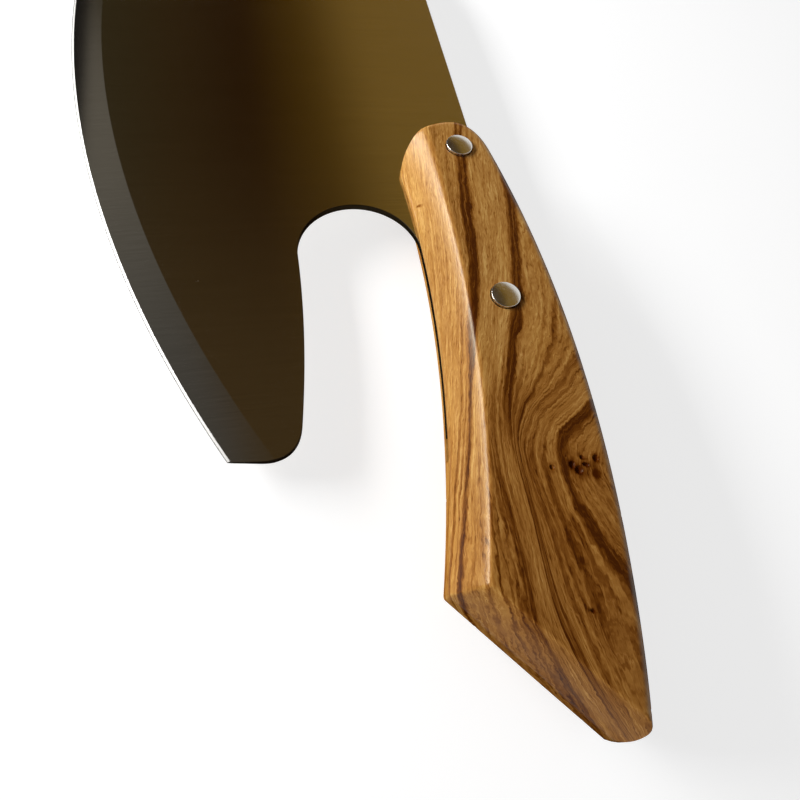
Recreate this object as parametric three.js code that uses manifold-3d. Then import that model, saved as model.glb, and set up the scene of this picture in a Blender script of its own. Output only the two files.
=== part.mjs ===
// Pizza rocker knife: a stamped steel blade with its tang in one piece, a one-piece wooden handle
// with a sawn slot for that tang, and two cutler's rivets, each a stud pressed into a tube.
// Millimetres. The knife lies on its side: X runs from the butt to the tip, Y from the spine to the
// cutting edge and Z through the thickness.
// It is drawn from the front rivet at (0, 0), with Z = 0 in the middle of the blade, and then set down
// with its origin under the middle of its box.
import * as THREE from 'three';
import { mergeVertices } from 'three/addons/utils/BufferGeometryUtils.js';
import Module from 'manifold-3d';

// Blade
const bladeThickness = 1.5;
const spineSetback = 2.7; // front rivet back to where the straight spine leaves the handle's back
const spineReach = 78; // front rivet to the end of the straight spine
const tipReach = 158; // front rivet to the tip
const tipDrop = 63.5; // rivet line to the tip
const tipRounding = 7;
const edgeRadius = 260; // one arc from heel to tip, so that the knife rocks
const heelReach = 68; // front rivet back to the heel end
const heelDepth = 12.4; // finger gap to the cutting edge, at the heel end
const heelLean = 1.5; // the heel end leans forward by this much towards the edge
const heelRounding = 7;
const fingerGap = 27; // handle belly to the heel's upper edge
const notchSetback = 8.8; // front rivet back to the closed end of the finger notch
const bevelWidth = 6.9; // ground band on each side of the edge
const edgeFlat = 0.3; // thickness left at the cutting edge
const tangReach = 66.5; // front rivet back to the tang's end

// Handle
const handleThickness = 18;
const handleFront = 9; // front rivet to the handle's front end
const frontNose = 0.2; // rivet line to the foremost point, on the back's side
const frontBackRun = 9.5; // length of the rounded front, from there to the back
const frontBellyRun = 10.5; // the same to the belly
const backHeight = 12.2; // rivet line to the highest point of the back
const backCrest = 49; // front rivet back to that point
const backRadius = 270;
const bellyHeight = 11.75; // rivet line to the start of the belly's curve
const bellyStart = 20; // front rivet back to that point
const bellyRadius = 270;
const landWidth = 4.2; // flat strip along belly and butt, between the facets of the two sides
const bellyChamfer = 5.15; // height of the wide belly facets
const buttChamfer = 3.9; // height of the butt facets
const buttReach = 94.8; // front rivet back to the butt's lower corner
const buttAngle = THREE.MathUtils.degToRad(40); // butt cut, from the rivet line
const handleRounding = 1.8; // back and front edges
const buttEase = 0.4; // how much rounder than those edges the butt's lower corner is
const tailEase = 0.6; // the same at the tail
const slotSpare = 4.8; // saw cut beyond the tang's end
const slotClearance = 0.3; // each side of the tang

// Rivets
const rivetSpacing = 41.4;
const headStand = 0.5; // rim of the head above the wood
const headRise = 0.6; // crown of the dome above its rim
const headSeat = 1; // depth of the seat in the wood
const headLip = 1; // the head stands out this far beyond the tube
const tubeWall = 0.5;
const studDiameter = 2.4;
const boreEnd = 1.2; // solid end of the tube, under its head
const rivetClearance = 0.3; // round the rivets, and between stud and tube

// Fineness of the curves
const outlineSegments = 20;
const roundingSegments = 3;
const rivetSegments = 24;
const ringSegments = 300;

const rivetPlaces = [0, -rivetSpacing];
const studRadius = studDiameter / 2;
const boreRadius = studRadius + rivetClearance;
const tubeRadius = boreRadius + tubeWall;
const headRadius = tubeRadius + headLip;
const rivetHole = tubeRadius + rivetClearance;
const halfHandle = handleThickness / 2;
const halfBlade = bladeThickness / 2;

const overshoot = 3; // how far a cutting shape runs past what it cuts
const samePoint = 1e-4; // points nearer than this are one point
const quarterTurn = Math.PI / 2;

const wasm = await Module();
wasm.setup();

function solidFrom(geometry) {
  const bare = geometry.clone();
  bare.deleteAttribute('normal');
  bare.deleteAttribute('uv');
  const merged = mergeVertices(bare, samePoint);
  return new wasm.Manifold(new wasm.Mesh({
    numProp: 3,
    vertProperties: new Float32Array(merged.attributes.position.array),
    triVerts: new Uint32Array(merged.index.array),
  }));
}

function geometryFrom(solid) {
  const mesh = solid.getMesh();
  const geometry = new THREE.BufferGeometry();
  geometry.setAttribute('position', new THREE.BufferAttribute(mesh.vertProperties, 3));
  geometry.setIndex(new THREE.BufferAttribute(mesh.triVerts, 1));
  geometry.computeVertexNormals();
  return geometry;
}

// A solid of revolution about Z through (x, y); the profile holds [radius, z] pairs, counter-clockwise.
function turned(profile, segments, x, y) {
  const points = profile.map(([radius, z]) => new THREE.Vector2(radius, z));
  const geometry = new THREE.LatheGeometry(points, segments);
  geometry.rotateX(quarterTurn);
  geometry.translate(x, y, 0);
  return geometry;
}

// A circle that bounds part of an outline, with its points found by their X.
function circle(x, y, radius) {
  return {
    x,
    y,
    radius,
    centre: new THREE.Vector2(x, y),
    lowAngle: (atX) => -quarterTurn + Math.asin((atX - x) / radius),
    lowPoint: (atX) => new THREE.Vector2(atX, y - Math.sqrt(radius ** 2 - (atX - x) ** 2)),
    pointAt: (angle) => new THREE.Vector2(x + radius * Math.cos(angle), y + radius * Math.sin(angle)),
  };
}

// The same outline as a shape of plain points, without the repeated points where curves meet.
function outlineOf(path) {
  const points = path.getPoints(outlineSegments);
  const next = (index) => points[(index + 1) % points.length];
  return new THREE.Shape(points.filter((point, index) => point.distanceTo(next(index)) > samePoint));
}

function towards(from, to, distance) {
  return from.clone().add(to.clone().sub(from).setLength(distance));
}

// Curves that blade and handle share
const back = circle(-backCrest, backRadius - backHeight, backRadius);
const belly = circle(-bellyStart, bellyRadius + bellyHeight, bellyRadius);
const heelTop = circle(belly.x, belly.y, bellyRadius - fingerGap);
const spineStart = back.lowPoint(-spineSetback);

// The cutting edge is the arc through the heel's lower end and the tip.
const heelCorner = heelTop.lowPoint(-heelReach);
const heelEnd = new THREE.Vector2(-heelReach + heelLean, heelCorner.y + heelDepth);
const tip = new THREE.Vector2(tipReach, tipDrop);
const halfChord = heelEnd.distanceTo(tip) / 2;
const edgeRise = Math.sqrt(edgeRadius ** 2 - halfChord ** 2);
const chordMiddle = heelEnd.clone().lerp(tip, 0.5);
const chordAngle = tip.clone().sub(heelEnd).angle();
const edge = circle(
  chordMiddle.x + edgeRise * Math.sin(chordAngle),
  chordMiddle.y - edgeRise * Math.cos(chordAngle),
  edgeRadius,
);
const edgeTipAngle = Math.atan2(tip.y - edge.y, tip.x - edge.x);
const edgeHeelAngle = Math.atan2(heelEnd.y - edge.y, heelEnd.x - edge.x);

// The nose leaves the straight spine smoothly and comes down to the tip.
const noseRun = tipReach - spineReach;
const noseDrop = tipDrop - spineStart.y;
const noseRadius = (noseRun ** 2 + noseDrop ** 2) / (2 * noseDrop);
const nose = circle(spineReach, spineStart.y + noseRadius, noseRadius);
const noseTipAngle = Math.atan2(tip.y - nose.y, tip.x - nose.x);

const notchRadius = fingerGap / 2;
const notchMiddle = circle(belly.x, belly.y, bellyRadius - notchRadius);
const notchAngle = notchMiddle.lowAngle(-notchSetback - notchRadius);
const notch = notchMiddle.pointAt(notchAngle);

function bladeOutline() {
  const path = new THREE.Path();
  const tangTop = back.lowPoint(-tangReach);
  const heelEase = Math.min(heelRounding, heelDepth);
  const heelTopStart = heelTop.pointAt(heelTop.lowAngle(-heelReach) + heelEase / heelTop.radius);
  const heelSide = towards(heelCorner, heelEnd, heelEase);
  const edgeStart = edge.pointAt(edgeTipAngle + tipRounding / edgeRadius);
  path.moveTo(tangTop.x, tangTop.y);
  path.absarc(back.x, back.y, back.radius, back.lowAngle(-tangReach), back.lowAngle(spineStart.x), false);
  path.lineTo(spineReach, spineStart.y);
  path.absarc(nose.x, nose.y, nose.radius, -quarterTurn, noseTipAngle - tipRounding / noseRadius, false);
  path.quadraticCurveTo(tip.x, tip.y, edgeStart.x, edgeStart.y);
  path.absarc(edge.x, edge.y, edge.radius, edgeTipAngle + tipRounding / edgeRadius, edgeHeelAngle, false);
  path.lineTo(heelSide.x, heelSide.y);
  path.quadraticCurveTo(heelCorner.x, heelCorner.y, heelTopStart.x, heelTopStart.y);
  path.absarc(
    heelTop.x, heelTop.y, heelTop.radius,
    heelTop.lowAngle(heelTopStart.x), notchAngle, false,
  );
  path.absarc(notch.x, notch.y, notchRadius, notchAngle + Math.PI, notchAngle, true);
  path.absarc(belly.x, belly.y, belly.radius, notchAngle, belly.lowAngle(-tangReach), true);
  return outlineOf(path);
}

// The crossing of a line with a circle that lies nearest to the line's start.
function crossing(start, direction, centre, radius) {
  const offset = start.clone().sub(centre);
  const middle = -offset.dot(direction);
  const half = Math.sqrt(middle ** 2 - offset.lengthSq() + radius ** 2);
  const reach = middle > 0 ? middle - half : middle + half;
  return start.clone().addScaledVector(direction, reach);
}

// The butt is cut straight, from the end of the belly.
const cutStart = belly.lowPoint(-buttReach);
const cutDirection = new THREE.Vector2(-Math.cos(buttAngle), -Math.sin(buttAngle));
const inward = new THREE.Vector2(Math.sin(buttAngle), -Math.cos(buttAngle));

function handleOutline() {
  const path = new THREE.Path();
  const cutOutAngle = Math.PI - quarterTurn + buttAngle;
  const buttRadius = handleRounding + buttEase;
  const tailRadius = handleRounding + tailEase;
  const buttSide = cutStart.clone().addScaledVector(inward, buttRadius);
  const buttCentre = crossing(buttSide, cutDirection, belly.centre, bellyRadius + buttRadius);
  const tailSide = cutStart.clone().addScaledVector(inward, tailRadius);
  const tailCentre = crossing(tailSide, cutDirection, back.centre, backRadius - tailRadius);
  const bellyEndAngle = buttCentre.clone().sub(belly.centre).angle();
  const backStartAngle = tailCentre.clone().sub(back.centre).angle();

  const backEnd = back.lowPoint(handleFront - frontBackRun);
  const backSlope = Math.tan(back.lowAngle(backEnd.x) + quarterTurn);
  const bellyFront = belly.lowPoint(handleFront - frontBellyRun);
  const bellySlope = Math.tan(belly.lowAngle(bellyFront.x) + quarterTurn);
  const bulge = 0.55; // control points at this share of each quarter make it close to round
  path.absarc(back.x, back.y, backRadius, backStartAngle, back.lowAngle(backEnd.x), false);
  path.bezierCurveTo(
    backEnd.x + bulge * frontBackRun, backEnd.y + bulge * frontBackRun * backSlope,
    handleFront, THREE.MathUtils.lerp(-frontNose, backEnd.y, bulge),
    handleFront, -frontNose,
  );
  path.bezierCurveTo(
    handleFront, THREE.MathUtils.lerp(-frontNose, bellyFront.y, bulge),
    bellyFront.x + bulge * frontBellyRun, bellyFront.y + bulge * frontBellyRun * bellySlope,
    bellyFront.x, bellyFront.y,
  );
  path.absarc(belly.x, belly.y, bellyRadius, belly.lowAngle(bellyFront.x), bellyEndAngle, true);
  path.absarc(buttCentre.x, buttCentre.y, buttRadius, bellyEndAngle + Math.PI, cutOutAngle, false);
  path.absarc(tailCentre.x, tailCentre.y, tailRadius, cutOutAngle, backStartAngle, false);
  return outlineOf(path);
}

function makeBlade() {
  const plate = new THREE.ExtrudeGeometry(bladeOutline(), {
    depth: bladeThickness,
    bevelEnabled: false,
  });
  plate.translate(0, 0, -halfBlade);
  let solid = solidFrom(plate);
  // One grinding ring above the edge and one below: the cone meets the cheek at the grind line.
  const slope = (halfBlade - edgeFlat / 2) / bevelWidth;
  const inner = edgeRadius - bevelWidth - overshoot;
  const outer = edgeRadius + overshoot;
  const innerHeight = halfBlade + slope * overshoot;
  const outerHeight = edgeFlat / 2 - slope * overshoot;
  const clear = halfBlade + overshoot;
  const ring = [[inner, innerHeight], [outer, outerHeight], [outer, clear], [inner, innerHeight]];
  for (const profile of [ring, mirrored(ring)]) {
    solid = solid.subtract(solidFrom(turned(profile, ringSegments, edge.x, edge.y)));
  }
  const drill = [[0, -clear], [rivetHole, -clear], [rivetHole, clear], [0, clear]];
  for (const x of rivetPlaces) {
    solid = solid.subtract(solidFrom(turned(drill, rivetSegments, x, 0)));
  }
  return geometryFrom(solid);
}

// The section that a facet takes off: a triangle from the land's edge at [0, land] to [height, side face].
function facetSection(height) {
  const land = landWidth / 2;
  const slope = (halfHandle - land) / height;
  const top = halfHandle + slope * overshoot;
  return [[-overshoot, land - slope * overshoot], [height + overshoot, top], [-overshoot, top]];
}

function mirrored(section) {
  return section.map(([across, z]) => [across, -z]).reverse();
}

// The belly facets are cones about the centre of the belly's arc.
function bellyCutters() {
  const facet = facetSection(bellyChamfer);
  return [facet, mirrored(facet)].map((section) => {
    const profile = section.map(([across, z]) => [bellyRadius + across, z]);
    return turned([...profile, profile[0]], ringSegments, belly.x, belly.y);
  });
}

// The butt facets are flat.
function buttCutters() {
  const facet = facetSection(buttChamfer);
  const length = 2 * (backHeight + cutStart.y) / Math.sin(buttAngle);
  const across = new THREE.Vector3(inward.x, inward.y, 0);
  const up = new THREE.Vector3(0, 0, 1);
  const along = new THREE.Vector3().crossVectors(across, up);
  return [facet, mirrored(facet)].map((section) => {
    const outline = new THREE.Shape(section.map(([x, y]) => new THREE.Vector2(x, y)));
    const prism = new THREE.ExtrudeGeometry(outline, { depth: length, bevelEnabled: false });
    prism.translate(0, 0, -length / 2);
    prism.applyMatrix4(new THREE.Matrix4().makeBasis(across, up, along));
    prism.translate(cutStart.x, cutStart.y, 0);
    return prism;
  });
}

function makeHandle() {
  const block = new THREE.ExtrudeGeometry(handleOutline(), {
    depth: handleThickness - 2 * handleRounding,
    bevelThickness: handleRounding,
    bevelSize: handleRounding,
    bevelOffset: -handleRounding,
    bevelSegments: roundingSegments,
  });
  block.translate(0, 0, handleRounding - halfHandle);
  let solid = solidFrom(block);
  for (const cutter of [...bellyCutters(), ...buttCutters()]) {
    solid = solid.subtract(solidFrom(cutter));
  }
  const slotLength = tangReach + slotSpare + handleFront + overshoot;
  const slotHeight = 2 * (backHeight + cutStart.y);
  const slot = new THREE.BoxGeometry(slotLength, slotHeight, bladeThickness + 2 * slotClearance);
  slot.translate(slotLength / 2 - tangReach - slotSpare, 0, 0);
  solid = solid.subtract(solidFrom(slot));
  const seatRadius = headRadius + rivetClearance;
  const seatHeight = halfHandle - headSeat;
  const clear = halfHandle + overshoot;
  const bore = [
    [0, -clear], [seatRadius, -clear], [seatRadius, -seatHeight], [rivetHole, -seatHeight],
    [rivetHole, seatHeight], [seatRadius, seatHeight], [seatRadius, clear], [0, clear],
  ];
  for (const x of rivetPlaces) {
    solid = solid.subtract(solidFrom(turned(bore, rivetSegments, x, 0)));
  }
  return geometryFrom(solid);
}

// Profile of a domed rivet head from its rim to its crown, in [radius, z] pairs.
function domeProfile(steps) {
  const domeRadius = (headRadius ** 2 + headRise ** 2) / (2 * headRise);
  const spread = Math.asin(headRadius / domeRadius);
  const crown = halfHandle + headStand + headRise;
  const profile = [];
  for (let step = 0; step <= steps; step += 1) {
    const angle = spread * (1 - step / steps);
    profile.push([domeRadius * Math.sin(angle), crown - domeRadius * (1 - Math.cos(angle))]);
  }
  profile[steps][0] = 0;
  return profile;
}

const headUnder = halfHandle - headSeat + rivetClearance;
const boreBottom = -headUnder + boreEnd;

function makeStud(x) {
  const profile = [
    [0, boreBottom + rivetClearance], [studRadius, boreBottom + rivetClearance],
    [studRadius, headUnder], [headRadius, headUnder],
    ...domeProfile(roundingSegments + 1),
  ];
  return turned(profile, rivetSegments, x, 0);
}

function makeTube(x) {
  const mouth = headUnder - rivetClearance;
  const crown = mirrored(domeProfile(roundingSegments + 1));
  const profile = [
    ...crown, [headRadius, -headUnder], [tubeRadius, -headUnder],
    [tubeRadius, mouth], [boreRadius, mouth], [boreRadius, boreBottom], [0, boreBottom],
  ];
  return turned(profile, rivetSegments, x, 0);
}

const satinSteel = new THREE.MeshStandardMaterial({ color: 0x8f8b82, roughness: 0.35, metalness: 1 });
const polishedSteel = new THREE.MeshStandardMaterial({ color: 0xc4c2bd, roughness: 0.2, metalness: 1 });
const oliveWood = new THREE.MeshStandardMaterial({ color: 0x9a6a33, roughness: 0.5, metalness: 0 });

function piece(name, geometry, material) {
  const mesh = new THREE.Mesh(geometry, material);
  mesh.name = name;
  return mesh;
}

const knife = new THREE.Group();
knife.add(piece('blade', makeBlade(), satinSteel));
knife.add(piece('handle', makeHandle(), oliveWood));
['front', 'rear'].forEach((end, index) => {
  knife.add(piece(`${end}_rivet_stud`, makeStud(rivetPlaces[index]), polishedSteel.clone()));
  knife.add(piece(`${end}_rivet_tube`, makeTube(rivetPlaces[index]), polishedSteel.clone()));
});

const box = new THREE.Box3().setFromObject(knife);
const middle = box.getCenter(new THREE.Vector3());
knife.position.set(-middle.x, -middle.y, -box.min.z);

export default knife;
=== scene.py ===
"""Pizza rocker knife: its finished surfaces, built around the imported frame.

Sizes are in millimetres from the axis of the front rivet: X runs to the tip, Y to the cutting edge, and
Z = 0 is the middle of the blade. Each piece's object stands at that point of the frame.
"""
import math

import bpy
import numpy as np
from mathutils import Matrix, Vector
from mathutils.geometry import delaunay_2d_cdt


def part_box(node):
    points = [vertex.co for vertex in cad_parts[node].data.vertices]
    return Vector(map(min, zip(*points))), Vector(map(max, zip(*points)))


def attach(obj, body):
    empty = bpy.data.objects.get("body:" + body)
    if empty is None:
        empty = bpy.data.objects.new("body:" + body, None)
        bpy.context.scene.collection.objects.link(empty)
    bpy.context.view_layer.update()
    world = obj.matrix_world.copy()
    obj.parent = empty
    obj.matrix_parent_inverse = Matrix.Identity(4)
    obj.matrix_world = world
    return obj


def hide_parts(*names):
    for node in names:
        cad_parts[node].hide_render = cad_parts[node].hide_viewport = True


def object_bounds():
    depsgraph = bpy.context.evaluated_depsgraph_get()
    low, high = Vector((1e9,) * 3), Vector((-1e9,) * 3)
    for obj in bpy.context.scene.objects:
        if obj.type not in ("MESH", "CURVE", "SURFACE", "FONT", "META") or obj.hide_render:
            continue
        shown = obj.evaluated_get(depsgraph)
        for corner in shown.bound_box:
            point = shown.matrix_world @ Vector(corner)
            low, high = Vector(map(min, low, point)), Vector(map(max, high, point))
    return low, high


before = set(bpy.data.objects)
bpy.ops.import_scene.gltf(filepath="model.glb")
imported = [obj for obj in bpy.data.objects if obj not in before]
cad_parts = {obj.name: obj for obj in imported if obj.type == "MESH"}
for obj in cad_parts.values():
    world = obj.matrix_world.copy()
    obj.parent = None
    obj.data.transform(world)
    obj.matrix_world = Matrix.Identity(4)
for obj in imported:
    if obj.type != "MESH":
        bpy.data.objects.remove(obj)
cad_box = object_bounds()
MM = 0.001

# Blade
BLADE_THICKNESS = 1.5
SPINE_SETBACK = 2.7  # front rivet to where the spine leaves the handle's back
SPINE_REACH = 78.0
TIP = (158.0, 63.5)
TIP_ROUNDING = 7.0
EDGE_RADIUS = 260.0
HEEL_REACH = 68.0
HEEL_DEPTH = 12.4
HEEL_LEAN = 1.5
HEEL_ROUNDING = 7.0
FINGER_GAP = 27.0
NOTCH_SETBACK = 8.8
BEVEL_WIDTH = 6.9
BEVEL_END = 0.16  # half thickness where the ground band ends
HONED_WIDTH = 0.55  # honed strip along the edge
HONED_END = 0.04
BLADE_EASE = 0.1  # broken edges of spine, notch and heel
TANG_REACH = 66.5

# Handle
HALF_HANDLE = 9.0
HANDLE_FRONT = 9.0
FRONT_NOSE = 0.2
FRONT_BACK_RUN = 9.5
FRONT_BELLY_RUN = 10.5
ROUND_BULGE = 0.55  # puts a curve's control points where it is close to round
BACK_HEIGHT = 12.2
BACK_CREST = 49.0
BACK_RADIUS = 270.0
BELLY_HEIGHT = 11.75
BELLY_START = 20.0
BELLY_RADIUS = 270.0
HALF_LAND = 2.1
# x, width of the belly facet
BELLY_CHAMFERS = ((-30, 5.15), (-16, 5.35), (-9, 5.65), (1, 6.3), (6, 6.5))
BUTT_CHAMFER = 3.85
FACET_CROWN = 0.3  # how far the facets swell, as a share of their slope
EDGE_WEAR = ((-76, 0.5), (-64, 0.3))  # x, height over which a facet's lower edge is worn round
BUTT_REACH = 94.8
BUTT_ANGLE = math.radians(40)
HANDLE_ROUNDING = 1.8
BUTT_EASE = 0.4
TAIL_EASE = 0.6
TAIL_RUN = (-120.5, -108.0)  # x over which the tail's end comes to lean in
TAIL_LEAN = 0.08  # per millimetre of height above and below the slot
ARRIS_WEAR = ((-95, 0.35), (-60, 0.45), (5, 0.55))  # x, height over which the arris is worn round
BUTT_WEAR = 0.35
ARRIS_HIGHLIGHT_REACH = 0.5  # height on each side of the butt arris over which the wood is painted paler, a painted highlight
SLOT_SPARE = 4.8
SLOT_GAP = 0.08  # each side of the tang

# Rivets
RIVET_PLACES = {"front": 0.0, "rear": -41.4}
HEAD_RADIUS = 3.0
HEAD_CROWN = 1.1  # crown above the wood
HEAD_RIM = 0.6  # height of the rim above the wood
HEAD_EASE = 0.12  # rounding of the rim
HEAD_SEAT = 1.0
SEAT_GAP = 0.18
TUBE_RADIUS = 2.0
STUD_RADIUS = 1.2
BORE_GAP = 0.3
BORE_END = 1.2

# Fineness of the meshes
OUTLINE_PITCH = 0.8
CORNER_PITCH = 0.3  # in small corners
GRID_PITCH = 0.75
GRID_CLEAR = 0.45 * GRID_PITCH  # between the grid and the rows along features
ROW_CLEAR = 0.1  # between points of those rows
OUTLINE_CLEAR = 0.04
SEAT_CLEAR = 0.3
EASE_CLEAR = 0.8 * BLADE_EASE
ROUND_ROWS = 6  # rows over a rounded edge
ARRIS_ROWS = (-1.3, -0.8, -0.45, -0.2, 0, 0.2, 0.45, 0.8, 1.3)  # rows along an arris, from its middle
ARRIS_END = -100.0  # x where the belly's rows end
BUTT_RUN = 34.0  # length of the butt's rows
PIT_RINGS = (0.05, 0.4, 0.75, 1.1, 1.5)  # in pit sizes
PIT_SEGMENTS = 12
SEAT_SEGMENTS = 32
RIVET_SEGMENTS = 64
RIM_STEPS = 6
DOME_STEPS = 10
BEVEL_ROWS = (2, 4, 5.5)  # rows over the ground band, from the cutting edge
BEVEL_PITCH = 2.0
BEVEL_LINE = 0.05  # half width of the line between band and cheek
EDGE_SPAN = (0.2, math.pi - 0.2)  # angles that hold the whole cutting edge
SLACK = 0.01  # below this, two measures are the same
DELAUNAY_SLACK = 1e-5
CREASE = math.radians(28)  # larger turns show as edges
BLADE_CREASE = math.radians(2)

HALF_BLADE = BLADE_THICKNESS / 2
HALF_SLOT = HALF_BLADE + SLOT_GAP
SLOT_END = -TANG_REACH - SLOT_SPARE
SEAT_RADIUS = HEAD_RADIUS + SEAT_GAP
BORE_RADIUS = TUBE_RADIUS + BORE_GAP
QUARTER = math.pi / 2


# Plane geometry: a circle is (centre x, centre y, radius), and an outline is an array of [x, y] rows.

def low_angle(circle, x):
    return -QUARTER + math.asin((x - circle[0]) / circle[2])


def low_point(circle, x):
    return np.array([x, circle[1] - math.sqrt(circle[2] ** 2 - (x - circle[0]) ** 2)])


def at_angle(circle, angle):
    x, y, radius = circle
    return np.stack([x + radius * np.cos(angle), y + radius * np.sin(angle)], axis=-1)


def angle_of(circle, point):
    return math.atan2(point[1] - circle[1], point[0] - circle[0])


def arc(circle, start, end, pitch=OUTLINE_PITCH):
    count = max(3, math.ceil(abs(end - start) * circle[2] / pitch) + 1)
    return at_angle(circle, np.linspace(start, end, count))


def straight(start, end):
    count = max(2, math.ceil(math.dist(start, end) / OUTLINE_PITCH) + 1)
    return np.linspace(start, end, count)


def bezier(*controls):
    controls = [np.asarray(point, float) for point in controls]
    count = max(8, math.ceil(math.dist(controls[0], controls[-1]) / OUTLINE_PITCH) * 2)
    degree = len(controls) - 1
    share = np.linspace(0, 1, count)[:, None]
    return sum(
        math.comb(degree, i) * (1 - share) ** (degree - i) * share**i * point
        for i, point in enumerate(controls)
    )


def closed(*stretches):
    """One loop of the stretches, without the repeated points where they meet."""
    points = np.vstack(stretches)
    step = np.linalg.norm(points - np.roll(points, -1, axis=0), axis=1)
    return points[step > SLACK]


def crossing(start, direction, circle):
    """The crossing of a line with a circle that lies nearest to the line's start."""
    offset = start - np.array(circle[:2])
    middle = -offset @ direction
    half = math.sqrt(middle**2 - offset @ offset + circle[2] ** 2)
    return start + direction * (middle - half if middle > 0 else middle + half)


def edge_distance(points, loop):
    """How far each point lies from a closed outline."""
    nearest = np.full(len(points), np.inf)
    for start, end in zip(loop, np.roll(loop, -1, axis=0)):
        span = end - start
        share = np.clip((points - start) @ span / (span @ span), 0, 1)
        nearest = np.minimum(nearest, np.linalg.norm(points - start - share[:, None] * span, axis=1))
    return nearest


def inside(points, loop):
    """Which points lie inside a closed outline."""
    result = np.zeros(len(points), bool)
    x, y = points[:, 0], points[:, 1]
    for (x0, y0), (x1, y1) in zip(loop, np.roll(loop, -1, axis=0)):
        if y0 != y1:
            result ^= ((y0 > y) != (y1 > y)) & (x < (x1 - x0) * (y - y0) / (y1 - y0) + x0)
    return result


def ring(x, y, radius, segments=RIVET_SEGMENTS):
    return at_angle((x, y, radius), np.arange(segments) * 2 * math.pi / segments)


def triangulate(loops, *loose):
    """The points, triangles and rows of loop points that fill the first loop, less the others."""
    points = np.vstack([*loops, *loose])
    edges, rows, first = [], [], 0
    for loop in loops:
        row = list(range(first, first + len(loop)))
        rows.append(row)
        edges += zip(row, row[1:] + row[:1])
        first += len(loop)
    found = delaunay_2d_cdt([Vector(p) for p in points], edges, [], 0, DELAUNAY_SLACK)
    places, triangles, origins = np.array([v[:] for v in found[0]]), np.array(found[2]), found[3]
    middles = places[triangles].mean(axis=1)
    kept = inside(middles, loops[0])
    for hole in loops[1:]:
        kept &= ~inside(middles, hole)
    now = {old: new for new, olds in enumerate(origins) for old in olds}
    return places, triangles[kept], [[now[i] for i in row] for row in rows]


# Outlines

back = (-BACK_CREST, BACK_RADIUS - BACK_HEIGHT, BACK_RADIUS)
belly = (-BELLY_START, BELLY_RADIUS + BELLY_HEIGHT, BELLY_RADIUS)
heel_top = (*belly[:2], BELLY_RADIUS - FINGER_GAP)
spine_start = low_point(back, -SPINE_SETBACK)
heel_corner = low_point(heel_top, -HEEL_REACH)
heel_end = np.array([-HEEL_REACH + HEEL_LEAN, heel_corner[1] + HEEL_DEPTH])
tip = np.array(TIP)


def edge_circle():
    """The cutting edge is one arc through the heel's lower end and the tip."""
    chord = tip - heel_end
    half = np.linalg.norm(chord) / 2
    across = np.array([chord[1], -chord[0]]) / (2 * half)
    centre = (heel_end + tip) / 2 + across * math.sqrt(EDGE_RADIUS**2 - half**2)
    return (*centre, EDGE_RADIUS)


edge = edge_circle()


def blade_outline():
    run, drop = tip[0] - SPINE_REACH, tip[1] - spine_start[1]
    nose_radius = (run**2 + drop**2) / (2 * drop)
    nose = (SPINE_REACH, spine_start[1] + nose_radius, nose_radius)
    nose_end = angle_of(nose, tip) - TIP_ROUNDING / nose_radius
    edge_start = angle_of(edge, tip) + TIP_ROUNDING / EDGE_RADIUS
    notch_radius = FINGER_GAP / 2
    notch_middle = (*belly[:2], BELLY_RADIUS - notch_radius)
    notch_angle = low_angle(notch_middle, -NOTCH_SETBACK - notch_radius)
    notch = (*at_angle(notch_middle, notch_angle), notch_radius)
    heel_start = low_angle(heel_top, -HEEL_REACH) + HEEL_ROUNDING / heel_top[2]
    heel_drop = heel_end - heel_corner
    heel_side = heel_corner + heel_drop * HEEL_ROUNDING / np.linalg.norm(heel_drop)
    return closed(
        arc(back, low_angle(back, -TANG_REACH), low_angle(back, spine_start[0])),
        straight(spine_start, (SPINE_REACH, spine_start[1])),
        arc(nose, -QUARTER, nose_end),
        bezier(at_angle(nose, nose_end), tip, at_angle(edge, edge_start)),
        arc(edge, edge_start, angle_of(edge, heel_end)),
        straight(heel_end, heel_side),
        bezier(heel_side, heel_corner, at_angle(heel_top, heel_start)),
        arc(heel_top, heel_start, notch_angle),
        arc(notch, notch_angle + math.pi, notch_angle),
        arc(belly, notch_angle, low_angle(belly, -TANG_REACH)),
        straight(low_point(belly, -TANG_REACH), low_point(back, -TANG_REACH)),
    )


cut_start = low_point(belly, -BUTT_REACH)
cut_direction = np.array([-math.cos(BUTT_ANGLE), -math.sin(BUTT_ANGLE)])
cut_inward = np.array([math.sin(BUTT_ANGLE), -math.cos(BUTT_ANGLE)])


def front_quarter(circle, run):
    """The curve from one side of the handle to the middle of its front."""
    side = low_point(circle, HANDLE_FRONT - run)
    slope = math.tan(low_angle(circle, side[0]) + QUARTER)
    nose = np.array([HANDLE_FRONT, -FRONT_NOSE])
    lead = side + ROUND_BULGE * run * np.array([1, slope])
    return bezier(side, lead, nose + [0, ROUND_BULGE * (side[1] - nose[1])], nose)


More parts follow.
